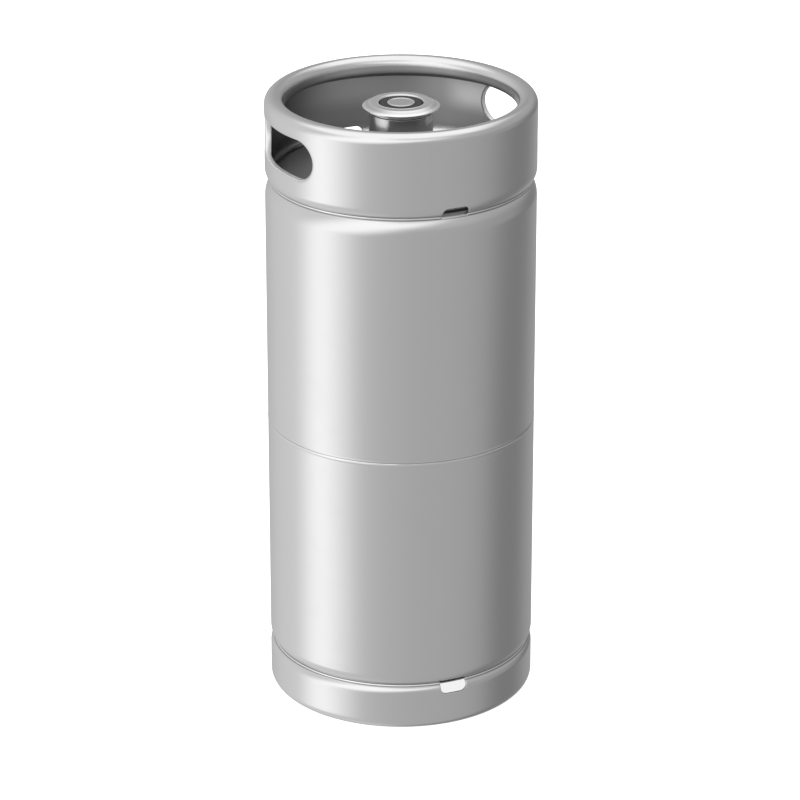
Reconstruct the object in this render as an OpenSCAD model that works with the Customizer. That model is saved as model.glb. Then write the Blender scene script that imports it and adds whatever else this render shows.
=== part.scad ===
// Slim stainless steel beer keg, free standing, with a flat-top valve and spear.
// Origin: centre of the foot ring on the floor. +Z up. Hand holes face +X and -X,
// drain notches face +Y and -Y. Millimetres.

/* [Body] */
// Outside diameter of the body and of both chimes
keg_d = 237; // [236:0.5:240]
// Sheet thickness of the two drawn half shells
shell_t = 1.5; // [1.2:0.1:1.8]
// Height of the girth seam where the half shells meet
girth_z = 256.5; // [200:0.5:320]
// Outside radius of the shoulder between the straight wall and the top dome
top_knuckle_r = 24; // [23:0.5:25]
// Outside radius of the shoulder between the straight wall and the bottom dome
bottom_knuckle_r = 15.5; // [15:0.5:17]
// Outside crown radius of the top dome
top_crown_r = 450; // [420:10:600]
// Outside crown radius of the bottom dome
bottom_crown_r = 270; // [260:1:290]

/* [Top chime] */
// Height of the weld line under the top chime
top_joint_z = 479.1; // [478.5:0.1:479.5]
// How far the weld line under the top chime lies in from the body's side
top_joint_in = 5.46; // [5.3:0.02:5.6]
// Height of the top of the rolled rim
rim_top_z = 555.2; // [554:0.1:558]
// Outside radius of the rolled rim bead
rim_roll_r = 8.85; // [8:0.05:9.5]
// How far the rim lip hangs below the middle of the bead
rim_lip = 7.5; // [6.2:0.05:7.8]
// Outside radius of the lip's curled-back end
rim_curl_r = 3.6; // [3.2:0.1:4]
// Sheet thickness of both chimes
chime_t = 2; // [1.8:0.1:2.2]
// Bend radius of the chime's drawn-in lower edge, outside
chime_bend_r = 13.8; // [13.5:0.1:14]

/* [Hand holes] */
// Width of each hand hole, measured straight across
hand_w = 106.6; // [90:0.1:115]
// Height of each hand hole
hand_h = 34.6; // [30:0.1:38]
// Height of the middle of the hand holes
hand_z = 520.1; // [516:0.1:523]
// Depth of the lip turned inwards round each hand hole
hand_lip = 4.2; // [2.5:0.1:4.5]

/* [Foot chime] */
// Height of the weld line over the bottom chime
bottom_joint_z = 42.1; // [41.8:0.1:42.4]
// How far the weld line over the bottom chime lies in from the body's side
bottom_joint_in = 4.4; // [4.3:0.02:4.5]
// Bend radius of the bottom chime's rounded top edge, outside
foot_bend_r = 8.7; // [8.6:0.1:9]
// Outside radius of the foot's rolled edge
foot_roll_r = 8.2; // [7:0.1:9]
// Width of the flat band the keg stands on
foot_flat = 1.5; // [1:0.1:3]

/* [Drain notches] */
// Width of the drain notches
notch_w = 24.8; // [20:0.1:28]
// Height of the notch in the top chime above the weld line
top_notch_h = 9.1; // [8:0.1:11]
// Height of the notch in the bottom chime below the weld line
bottom_notch_h = 9.6; // [9:0.1:12]
// Corner radius of the notches
notch_r = 5.5; // [4:0.1:6]

/* [Neck and valve] */
// Outside radius of the neck
neck_r = 27.9; // [27.5:0.1:28.5]
// Thread radius inside the neck
thread_r = 24.8; // [24.5:0.05:25]
// Height of the top of the neck
neck_top_z = 538.7; // [538:0.1:539.5]
// Outside radius of the coupler flange
flange_r = 33.75; // [33:0.05:34.5]
// Height of the flat top of the coupler flange
flange_z = 547.1; // [546.5:0.1:549]
// Radius of the black main seal at the top
seal_r = 18.9; // [18.7:0.05:18.95]
// Radius of the steel centre disc
disc_r = 12; // [11.5:0.05:12.05]
// How far a coupler pushes the valve down
valve_travel = 6.5; // [5:0.1:6.5]

/* [Spear] */
// Outside radius of the spear tube
tube_r = 8; // [7.95:0.05:8]
// Wall thickness of the spear tube
tube_t = 0.8; // [0.6:0.1:1]
// Height of the open bottom end of the spear tube
tube_end_z = 25; // [24:0.5:40]
// Wire radius of the valve spring
wire_r = 1.2; // [1:0.1:1.3]
// Number of turns in the valve spring
spring_turns = 6.5; // [5:0.5:8]

/* [Hidden] */

R = keg_d / 2;
bead_z = 0.8;                     // half height of the girth bead
// Heights where the straight wall turns into each knuckle
tan_top = top_joint_z - top_knuckle_r * sin(acos(1 - top_joint_in / top_knuckle_r));
tan_bot = bottom_joint_z + bottom_knuckle_r * sin(acos(1 - bottom_joint_in / bottom_knuckle_r));
kx_top = R - top_knuckle_r;       // radius of the knuckle centres
kx_bot = R - bottom_knuckle_r;
// Angle between the keg's axis and the line where knuckle meets crown
phi_top = asin(kx_top / (top_crown_r - top_knuckle_r));
phi_bot = asin(kx_bot / (bottom_crown_r - bottom_knuckle_r));
crown_top_z = tan_top - (top_crown_r - top_knuckle_r) * cos(phi_top);
crown_bot_z = tan_bot + (bottom_crown_r - bottom_knuckle_r) * cos(phi_bot);
CN = 16;                          // segments along a crown
rim_mid_z = rim_top_z - rim_roll_r;
bend_x = R - chime_bend_r;
// Middle of the bend at the lower edge of the top chime, and at the top edge of the bottom chime
bend_top_z = top_joint_z + chime_bend_r * sin(acos(1 - top_joint_in / chime_bend_r));
bend_bot_z = bottom_joint_z - foot_bend_r * sin(acos(1 - bottom_joint_in / foot_bend_r));
// Angles along each knuckle between which the weld lies on the shell
top_weld_a = [36.6, 41.5];
bot_weld_a = [38.5, 47];

// Valve stack heights
pin_z = 526;
pin_r = 2;
body_bottom_z = 515;
seat_z = 542.3;                   // underside of the valve seat
chamber_r = 22;
cage_floor_z = 488;
spring_bottom_z = 490;
spring_top_z = 520;
dome_at_neck_z = crown_top_z + sqrt(top_crown_r * top_crown_r - neck_r * neck_r);

steel = [0.74, 0.74, 0.74];
dark_steel = [0.5, 0.5, 0.5];
bright_steel = [0.84, 0.84, 0.84];
black_rubber = [0.07, 0.07, 0.07];

// Points on an arc about [cx, cz], from angle a0 to a1 in n steps
function arc(cx, cz, r, a0, a1, n) =
    [for (i = [0:n]) [cx + r * cos(a0 + (a1 - a0) * i / n), cz + r * sin(a0 + (a1 - a0) * i / n)]];
// Points of the knuckles from angle a0 to a1, counted from the straight wall towards the dome
function top_knuckle(r, a0, a1, n) = arc(kx_top, tan_top, r, a0, a1, n);
function bot_knuckle(r, a0, a1, n) = arc(kx_bot, tan_bot, r, -a0, -a1, n);

module revolve(points) rotate_extrude($fn = 96) polygon(points);
module ring(r_in, r_out, z0, z1) revolve([[r_in, z0], [r_out, z0], [r_out, z1], [r_in, z1]]);

// A slot-shaped prism along X with round ends
module stadium(w, h, x0, x1) {
    translate([x0, 0, 0]) rotate([0, 90, 0]) {
        for (s = [-1, 1]) translate([0, s * (w - h) / 2, 0]) cylinder(r = h / 2, h = x1 - x0, $fn = 64);
        translate([-h / 2, -(w - h) / 2, 0]) cube([h, w - h, x1 - x0]);
    }
}

// A notch cutter along Y: open at z_open, two rounded corners at z_end
module notch(z_open, z_end, y0, y1) {
    up = z_end > z_open ? 1 : -1;
    zc = z_end - up * notch_r;
    for (s = [-1, 1]) translate([s * (notch_w / 2 - notch_r), y0, zc]) rotate([-90, 0, 0])
        cylinder(r = notch_r, h = y1 - y0, $fn = 48);
    translate([-notch_w / 2 + notch_r, y0, min(zc, z_end)]) cube([notch_w - 2 * notch_r, y1 - y0, notch_r]);
    translate([-notch_w / 2, y0, min(z_open, zc)]) cube([notch_w, y1 - y0, abs(zc - z_open)]);
}
module notches(z_open, z_end) {
    notch(z_open, z_end, R - 14, R + 4);
    notch(z_open, z_end, -R - 4, -R + 14);
}

// Deep-drawn upper half with the top dome and the neck hole
module upper_shell() {
    ri = top_knuckle_r - shell_t;
    rc = top_crown_r - shell_t;
    color(steel) revolve(concat(
        [[R, girth_z + bead_z]],
        top_knuckle(top_knuckle_r, 0, top_weld_a[0], 13),
        top_knuckle(top_knuckle_r, top_weld_a[0] + 1.225, top_weld_a[1], 3),
        top_knuckle(top_knuckle_r, top_weld_a[1] + 2, 90 - phi_top, 6),
        arc(0, crown_top_z, top_crown_r, 90 - phi_top + 0.5, acos(neck_r / top_crown_r), CN),
        arc(0, crown_top_z, rc, acos(neck_r / rc), 90 - phi_top + 0.5, CN),
        top_knuckle(ri, 90 - phi_top, 0, 18),
        [[R - shell_t, girth_z + bead_z]]));
}

// Deep-drawn lower half with the closed bottom dome
module lower_shell() {
    ri = bottom_knuckle_r - shell_t;
    rc = bottom_crown_r - shell_t;
    color(steel) revolve(concat(
        [[R, girth_z - bead_z]],
        bot_knuckle(bottom_knuckle_r, 0, bot_weld_a[0], 12),
        bot_knuckle(bottom_knuckle_r, bot_weld_a[0] + 2.125, bot_weld_a[1], 3),
        bot_knuckle(bottom_knuckle_r, bot_weld_a[1] + 3, 90 - phi_bot, 6),
        arc(0, crown_bot_z, bottom_crown_r, -90 + phi_bot - 0.5, -90, CN),
        arc(0, crown_bot_z, rc, -90, -90 + phi_bot - 0.5, CN),
        bot_knuckle(ri, 90 - phi_bot, 0, 18),
        [[R - shell_t, girth_z - bead_z]]));
}

// Weld that joins the half shells, a hair proud of the wall
module girth_weld() {
    color(bright_steel) revolve([
        [R - shell_t, girth_z - bead_z], [R, girth_z - bead_z], [R + 0.2, girth_z],
        [R, girth_z + bead_z], [R - shell_t, girth_z + bead_z], [R - shell_t - 0.3, girth_z]]);
}

// Ends of the chime sheets where they meet the shells
top_end_out = [bend_x + chime_bend_r * cos(-41.8), bend_top_z + chime_bend_r * sin(-41.8)];
top_end_in = [bend_x + (chime_bend_r - chime_t) * cos(-49), bend_top_z + (chime_bend_r - chime_t) * sin(-49)];
foot_end_out = [R - foot_bend_r + foot_bend_r * cos(48.3), bend_bot_z + foot_bend_r * sin(48.3)];
foot_end_in = [R - foot_bend_r + (foot_bend_r - chime_t) * cos(56), bend_bot_z + (foot_bend_r - chime_t) * sin(56)];
function between(a, b, t) = a + (b - a) * t;

// Carrying ring: drawn-in lower edge, rolled rim, two hand holes with turned-in lips, two drains
module top_chime() {
    color(steel) difference() {
        union() {
            revolve(concat(
                arc(bend_x, bend_top_z, chime_bend_r, -41.8, 0, 10),
                arc(R - rim_roll_r, rim_mid_z, rim_roll_r, 0, 180, 24),
                arc(R - 2 * rim_roll_r + rim_curl_r, rim_mid_z - rim_lip + rim_curl_r, rim_curl_r, 180, 255, 8),
                arc(R - 2 * rim_roll_r + rim_curl_r, rim_mid_z - rim_lip + rim_curl_r, rim_curl_r - chime_t, 255, 180, 6),
                arc(R - rim_roll_r, rim_mid_z, rim_roll_r - chime_t, 180, 0, 20),
                arc(bend_x, bend_top_z, chime_bend_r - chime_t, 0, -49, 10)));
            intersection() {
                ring(R - chime_t - hand_lip, R - chime_t / 2, hand_z - 30, hand_z + 30);
                translate([0, 0, hand_z]) {
                    stadium(hand_w + 2 * chime_t, hand_h + 2 * chime_t, 80, 130);
                    stadium(hand_w + 2 * chime_t, hand_h + 2 * chime_t, -130, -80);
                }
            }
        }
        translate([0, 0, hand_z]) stadium(hand_w, hand_h, 80, 130);
        translate([0, 0, hand_z]) stadium(hand_w, hand_h, -130, -80);
        notches(top_joint_z - 6, top_joint_z + top_notch_h);
    }
}

// Foot ring: rolled edge with a narrow flat band, rounded top edge, two drains
module bottom_chime() {
    color(steel) difference() {
        revolve(concat(
            arc(R - foot_roll_r, foot_roll_r, foot_roll_r, -90, 0, 12),
            arc(R - foot_bend_r, bend_bot_z, foot_bend_r, 0, 48.3, 9),
            arc(R - foot_bend_r, bend_bot_z, foot_bend_r - chime_t, 56, 0, 9),
            arc(R - foot_roll_r, foot_roll_r, foot_roll_r - chime_t, 0, -90, 10),
            arc(R - foot_roll_r - foot_flat, foot_roll_r, foot_roll_r - chime_t, -90, -180, 10),
            [[R - 2 * foot_roll_r - foot_flat + chime_t, foot_roll_r + 4], [R - 2 * foot_roll_r - foot_flat, foot_roll_r + 4]],
            arc(R - foot_roll_r - foot_flat, foot_roll_r, foot_roll_r, -180, -90, 12)));
        notches(bottom_joint_z + 6, bottom_joint_z - bottom_notch_h);
    }
}

// Weld between the top dome's knuckle and the top chime, broken at the drains
module top_chime_weld() {
    color(dark_steel) difference() {
        revolve(concat([top_knuckle(top_knuckle_r, top_weld_a[0], 0, 1)[0]],
            top_knuckle(top_knuckle_r, top_weld_a[0] + 1.225, top_weld_a[1], 3),
            [between(top_end_out, top_end_in, 0.78), top_end_out,
            between(top_end_out, top_knuckle(top_knuckle_r, top_weld_a[0], 0, 1)[0], 0.5) + [0.3, -0.14]]));
        for (s = [-1, 1]) translate([-notch_w / 2, s * R - 10, top_joint_z - 10]) cube([notch_w, 20, 20]);
    }
}

// Weld between the bottom knuckle and the bottom chime, broken at the drains
module bottom_chime_weld() {
    color(dark_steel) difference() {
        revolve(concat([bot_knuckle(bottom_knuckle_r, bot_weld_a[0], 0, 1)[0]],
            bot_knuckle(bottom_knuckle_r, bot_weld_a[0] + 2.125, bot_weld_a[1], 3),
            [between(foot_end_out, foot_end_in, 0.8), foot_end_out,
            between(foot_end_out, bot_knuckle(bottom_knuckle_r, bot_weld_a[0], 0, 1)[0], 0.5) + [0.25, 0.06]]));
        for (s = [-1, 1]) translate([-notch_w / 2, s * R - 10, bottom_joint_z - 10]) cube([notch_w, 20, 20]);
    }
}

// Threaded sleeve the valve screws into
module neck() {
    color(dark_steel) revolve([
        [thread_r, 490], [neck_r - 1, 490], [neck_r, 491], [neck_r, neck_top_z],
        [thread_r, neck_top_z]]);
}

// Fillet weld between the dome and the neck
module neck_weld() {
    z3 = crown_top_z + sqrt(top_crown_r * top_crown_r - (neck_r + 3) * (neck_r + 3));
    color(dark_steel) revolve([[neck_r, dome_at_neck_z + 0.02], [neck_r + 3, z3 + 0.02],
        [neck_r + 1.6, dome_at_neck_z + 1.4], [neck_r, dome_at_neck_z + 3]]);
}

// Flat sealing ring between the neck and the valve's collar
module neck_seal() {
    color(black_rubber) ring(thread_r + 0.2, neck_r - 0.7, neck_top_z, neck_top_z + 0.6);
}

// Valve body: coupler flange, collar, screwed part, valve seat and chamber
module fitting_body() {
    color(steel) difference() {
        revolve([
            [seal_r + 0.3, flange_z], [27.3, flange_z], [flange_r - 0.8, flange_z - 2.6],
            [flange_r, flange_z - 3.2], [flange_r, flange_z - 4.2],
            [neck_r, flange_z - 6.2], [neck_r, neck_top_z + 0.6],
            [thread_r - 0.05, neck_top_z + 0.6], [thread_r - 0.05, body_bottom_z],
            [chamber_r, body_bottom_z], [chamber_r, 517], [23.4, 517], [23.4, 518.7], [chamber_r, 518.7],
            [chamber_r, seat_z], [seal_r + 0.3, seat_z]]);
        translate([-30, 0, pin_z]) rotate([0, 90, 0]) cylinder(r = pin_r, h = 60, $fn = 32);
    }
}

// Fixed steel disc in the middle of the valve, on its stem
module centre_disc() {
    color(bright_steel) difference() {
        rotate_extrude($fn = 64) polygon([
            [0, 521.5], [3, 521.5], [3.5, 522], [3.5, 540], [5, 542], [disc_r - 0.8, 544.6], [disc_r, 545.4],
            [disc_r, flange_z - 0.5], [disc_r - 0.4, flange_z - 0.2], [disc_r - 1.6, flange_z - 0.2],
            [disc_r - 2, flange_z - 0.5], [0, flange_z - 0.5]]);
        translate([-10, 0, pin_z]) rotate([0, 90, 0]) cylinder(r = pin_r, h = 20, $fn = 32);
    }
}

// Pin that holds the centre disc's stem in the valve body
module cross_pin() {
    color(steel) translate([-23.6, 0, pin_z]) rotate([0, 90, 0]) cylinder(r = pin_r, h = 47.2, $fn = 32);
}

// Cage that carries the spring's lower end, with four gas ports and a drilled floor
module spring_cage() {
    color(steel) difference() {
        revolve([
            [10.5, cage_floor_z], [20.0, cage_floor_z], [20.8, cage_floor_z + 0.8], [20.8, 518.7],
            [chamber_r - 0.05, 518.7], [chamber_r - 0.05, 523], [19.6, 523],
            [19.6, spring_bottom_z], [10.5, spring_bottom_z]]);
        for (a = [45:90:315]) rotate([0, 0, a]) translate([15, -5, 497]) {
            cube([12, 10, 14]);
            translate([0, 5, 0]) rotate([0, 90, 0]) cylinder(r = 5, h = 12, $fn = 32);
        }
    }
}

// Snap ring in the valve body that holds the cage up
module cage_ring() {
    color(bright_steel) difference() {
        ring(21.1, 23.35, 517.1, 518.65);
        translate([18, -3, 510]) cube([10, 6, 20]);
    }
}

// Plastic bush that guides the spear tube through the cage's floor
module guide_bush() {
    color("white") revolve([
        [tube_r + 0.05, 486], [12.5, 486], [12.5, cage_floor_z], [10.5, cage_floor_z],
        [10.5, spring_bottom_z], [13, spring_bottom_z], [13, spring_bottom_z + 1], [tube_r + 0.05, spring_bottom_z + 1]]);
}

// Black rubber ring that closes the valve, seen round the centre disc
module main_seal() {
    color(black_rubber) revolve([
        [disc_r + 0.3, 538.5], [14, 538.5], [14, 541.5], [19, 541.5], [19, 538.5], [21, 538.5],
        [21, 542], [seal_r, 542], [seal_r, flange_z - 1.1], [seal_r - 0.6, flange_z - 0.5],
        [disc_r + 0.9, flange_z - 0.5], [disc_r + 0.3, flange_z - 1.1]]);
}

// Steel ring vulcanised into the rubber
module seal_core() {
    color(steel) ring(14, 19, 538.5, 541.5);
}

// Slotted head of the spear, under the seal; the slots clear the cross pin
module seal_carrier() {
    color(steel) difference() {
        revolve([
            [tube_r, 501], [11.5, 501], [13, 502.5], [13, 535.5], [20.4, 535.5], [20.4, 538.5],
            [10.8, 538.5], [10.8, 505], [tube_r, 505]]);
        for (z = [pin_z, pin_z + valve_travel]) translate([-16, 0, z]) rotate([0, 90, 0])
            cylinder(r = pin_r + 0.3, h = 32, $fn = 32);
        translate([-16, -pin_r - 0.3, pin_z]) cube([32, 2 * pin_r + 0.6, valve_travel]);
    }
}

// Ring on the carrier that the spring pushes up on
module spring_seat() {
    color(steel) revolve([[13, 520], [18.9, 520], [18.9, 521.2], [14.5, 521.2], [14.5, 523], [13, 523]]);
}

// Tube that draws beer from the bottom of the keg, with two slots in its foot
module spear_tube() {
    color(steel) difference() {
        ring(tube_r - tube_t, tube_r, tube_end_z, 505);
        translate([-12, -2, tube_end_z - 1]) cube([24, 4, 7]);
    }
}

// One ring of points of the spring's wire
SR = 16.3;   // mean radius of the coil
SS = 8;      // sides of the wire
SN = 24;     // steps a turn
spring_steps = floor(spring_turns * SN);
spring_lo = spring_bottom_z + wire_r;
spring_hi = spring_top_z - wire_r;
// The two end turns lie nearly flat and the rest rises evenly
function spring_rise(t) = t < 1 ? 0.07 * t : t > spring_turns - 1 ? 1 - 0.07 * (spring_turns - t)
    : 0.07 + 0.86 * (t - 1) / (spring_turns - 2);
function spring_ring(i) = let (t = i / SN, a = 360 * t, z = spring_lo + (spring_hi - spring_lo) * spring_rise(t))
    [for (k = [0:SS - 1]) let (b = 360 * k / SS)
        [(SR + wire_r * cos(b)) * cos(a), (SR + wire_r * cos(b)) * sin(a), z + wire_r * sin(b)]];

// Compression spring that lifts the valve shut
module valve_spring() {
    pts = [for (i = [0:spring_steps]) each spring_ring(i)];
    sides = [for (i = [0:spring_steps - 1]) for (k = [0:SS - 1])
        [i * SS + k, (i + 1) * SS + k, (i + 1) * SS + (k + 1) % SS, i * SS + (k + 1) % SS]];
    color(bright_steel) polyhedron(points = pts, convexity = 10, faces = concat(
        [[for (k = [0:SS - 1]) k]], sides, [[for (k = [SS - 1:-1:0]) spring_steps * SS + k]]));
}

upper_shell();
lower_shell();
girth_weld();
top_chime();
bottom_chime();
top_chime_weld();
bottom_chime_weld();
neck();
neck_weld();
neck_seal();
fitting_body();
centre_disc();
cross_pin();
spring_cage();
cage_ring();
guide_bush();
main_seal();
seal_core();
seal_carrier();
spring_seat();
spear_tube();
valve_spring();
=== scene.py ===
import bpy, bmesh, math
import numpy as np
from mathutils import Vector, Matrix


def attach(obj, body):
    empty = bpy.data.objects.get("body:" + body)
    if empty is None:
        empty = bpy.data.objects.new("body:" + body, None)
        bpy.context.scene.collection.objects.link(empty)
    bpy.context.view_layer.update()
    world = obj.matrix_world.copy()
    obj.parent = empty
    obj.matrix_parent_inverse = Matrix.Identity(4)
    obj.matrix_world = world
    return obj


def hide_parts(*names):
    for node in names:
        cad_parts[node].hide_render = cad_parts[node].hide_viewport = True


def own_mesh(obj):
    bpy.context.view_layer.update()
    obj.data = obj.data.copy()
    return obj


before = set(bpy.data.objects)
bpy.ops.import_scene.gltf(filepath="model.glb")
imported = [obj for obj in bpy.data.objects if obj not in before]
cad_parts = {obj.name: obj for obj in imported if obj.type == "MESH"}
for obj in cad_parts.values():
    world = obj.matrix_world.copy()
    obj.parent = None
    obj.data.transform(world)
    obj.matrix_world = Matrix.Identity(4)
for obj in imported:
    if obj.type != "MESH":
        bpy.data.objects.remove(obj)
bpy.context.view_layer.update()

# ---------------------------------------------------------------- dimensions, millimetres
R = 118.5
SHELL_T, CHIME_T = 1.5, 2.0
GIRTH_Z = 256.5
TJ, BJ = 479.1, 42.1                 # weld lines under the top chime, over the bottom chime
TJ_IN, BJ_IN = 5.46, 4.4             # how far the weld lines lie in from the side
RIM_Z, RIM_R, RIM_LIP, RIM_CURL = 555.2, 8.85, 7.5, 3.6
RIM_MID = RIM_Z - RIM_R
KRT, KRB = 24.0, 15.5                # shoulder radii of the shells
KXT, KXB = R - KRT, R - KRB
TAN_TOP = TJ - KRT * math.sin(math.acos(1 - TJ_IN / KRT))
TAN_BOT = BJ + KRB * math.sin(math.acos(1 - BJ_IN / KRB))
CR_TOP, CR_BOT = 450.0, 270.0
PHI_TOP = math.asin(KXT / (CR_TOP - KRT))
PHI_BOT = math.asin(KXB / (CR_BOT - KRB))
CZ_TOP = TAN_TOP - (CR_TOP - KRT) * math.cos(PHI_TOP)
CZ_BOT = TAN_BOT + (CR_BOT - KRB) * math.cos(PHI_BOT)
CBR, FBR = 13.8, 8.7                 # bends at the lower edge of the top chime, the top edge of the bottom chime
CBZ = TJ + CBR * math.sin(math.acos(1 - TJ_IN / CBR))
FBZ = BJ - FBR * math.sin(math.acos(1 - BJ_IN / FBR))
CBX, FBX = R - CBR, R - FBR
TE_OUT, TE_IN, FE_OUT, FE_IN = -41.8, -49.0, 48.3, 56.0      # angles where the chime sheets end
TOP_TOE, TOP_BACK, BOT_TOE, BOT_BACK = 36.6, 41.5, 38.5, 47.0   # where the welds lie on the shoulders
HAND_W, HAND_H, HAND_Z, HAND_LIP = 106.6, 34.6, 520.1, 4.2
FOOT_R, FOOT_FLAT = 8.2, 1.5
NOTCH_W, NOTCH_TOP, NOTCH_BOT, NOTCH_R = 24.8, 9.1, 9.6, 5.5
NECK_R, THREAD_R, NECK_TOP = 27.9, 24.8, 538.7
FLANGE_R, FLANGE_Z = 33.75, 547.1
SEAL_R, DISC_R = 18.9, 12.0
MM = 0.001
rng = np.random.default_rng(11)


# ---------------------------------------------------------------- mesh helpers
def arc(cx, cz, r, a0, a1, n):
    return [(cx + r * math.cos(math.radians(a0 + (a1 - a0) * i / n)),
             cz + r * math.sin(math.radians(a0 + (a1 - a0) * i / n))) for i in range(n + 1)]


def fillet(points, n=4):
    """Rounds corners of a closed outline; each point is (r, z, radius)."""
    out = []
    m = len(points)
    for i in range(m):
        a, b, c = points[i - 1], points[i], points[(i + 1) % m]
        rad = b[2] if len(b) > 2 else 0
        p, q, s = np.array(a[:2], float), np.array(b[:2], float), np.array(c[:2], float)
        if rad <= 0:
            out.append(tuple(q))
            continue
        u, v = (p - q), (s - q)
        lu, lv = np.linalg.norm(u), np.linalg.norm(v)
        u, v = u / lu, v / lv
        ang = math.acos(max(-1, min(1, float(u @ v))))
        d = min(rad / math.tan(ang / 2), 0.49 * lu, 0.49 * lv)
        for k in range(n + 1):
            t = k / n
            w0, w1, w2 = (1 - t) ** 2, 2 * t * (1 - t), t ** 2
            out.append(tuple(w0 * (q + u * d) + w1 * q + w2 * (q + v * d)))
    return out


def new_object(name, verts, faces, sharp=35.0):
    me = bpy.data.meshes.new(name)
    me.from_pydata([tuple(v) for v in verts], [], faces)
    bm = bmesh.new()
    bm.from_mesh(me)
    bmesh.ops.remove_doubles(bm, verts=bm.verts, dist=1e-6)
    bmesh.ops.dissolve_degenerate(bm, edges=bm.edges, dist=1e-7)
    bmesh.ops.recalc_face_normals(bm, faces=bm.faces)
    bm.to_mesh(me)
    bm.free()
    me.shade_smooth()
    me.set_sharp_from_angle(angle=math.radians(sharp))
    ob = bpy.data.objects.new(name, me)
    bpy.context.scene.collection.objects.link(ob)
    return ob


def revolve(name, outline, n=256, a0=0.0, a1=360.0, sharp=35.0, shape=None):
    """Closed outline in (r, z) turned about Z. shape(r, z, angle) may nudge points."""
    full = abs(a1 - a0) >= 359.999
    cols = n if full else n + 1
    m = len(outline)
    verts = []
    for i in range(cols):
        a = math.radians(a0 + (a1 - a0) * i / n)
        ca, sa = math.cos(a), math.sin(a)
        for (r, z) in outline:
            if shape:
                r, z = shape(r, z, a)
            verts.append((r * ca * MM, r * sa * MM, z * MM))
    faces = []
    for i in range(n):
        i2 = (i + 1) % cols
        for j in range(m):
            j2 = (j + 1) % m
            faces.append((i * m + j, i2 * m + j, i2 * m + j2, i * m + j2))
    if not full:
        faces.append(tuple(range(m)))
        faces.append(tuple((cols - 1) * m + j for j in range(m - 1, -1, -1)))
    return new_object(name, verts, faces, sharp)


# ---------------------------------------------------------------- materials
def nt(mat):
    mat.use_nodes = True
    t = mat.node_tree
    t.nodes.clear()
    return t


class G:
    """A small helper that chains shader nodes."""

    def __init__(self, tree):
        self.t = tree

    def n(self, kind, **kw):
        node = self.t.nodes.new(kind)
        for k, v in kw.items():
            setattr(node, k, v)
        return node

    def link(self, a, b):
        self.t.links.new(a, b)

    def put(self, socket, v):
        if hasattr(v, "is_linked") or hasattr(v, "links"):
            self.link(v, socket)
        else:
            socket.default_value = v

    def math(self, op, a, b=0.0, c=None, clamp=False):
        m = self.n("ShaderNodeMath", operation=op, use_clamp=clamp)
        self.put(m.inputs[0], a)
        self.put(m.inputs[1], b)
        if c is not None:
            self.put(m.inputs[2], c)
        return m.outputs[0]

    def ramp(self, v, lo, hi, a=0.0, b=1.0):
        m = self.n("ShaderNodeMapRange", interpolation_type="SMOOTHSTEP")
        self.put(m.inputs["Value"], v)
        for k, x in (("From Min", lo), ("From Max", hi), ("To Min", a), ("To Max", b)):
            self.put(m.inputs[k], x)
        return m.outputs["Result"]

    def noise(self, vec, scale, detail=2.0, rough=0.5, dist=0.0):
        m = self.n("ShaderNodeTexNoise")
        self.put(m.inputs["Vector"], vec)
        m.inputs["Scale"].default_value = scale
        m.inputs["Detail"].default_value = detail
        m.inputs["Roughness"].default_value = rough
        m.inputs["Distortion"].default_value = dist
        return m.outputs["Fac"]

    def stretch(self, vec, s):
        m = self.n("ShaderNodeMapping")
        self.put(m.inputs["Vector"], vec)
        m.inputs["Scale"].default_value = s
        return m.outputs["Vector"]

    def mixc(self, f, a, b):
        m = self.n("ShaderNodeMix", data_type="RGBA")
        self.put(m.inputs["Factor"], f)
        self.put(m.inputs["A"], a)
        self.put(m.inputs["B"], b)
        return m.outputs["Result"]


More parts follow.
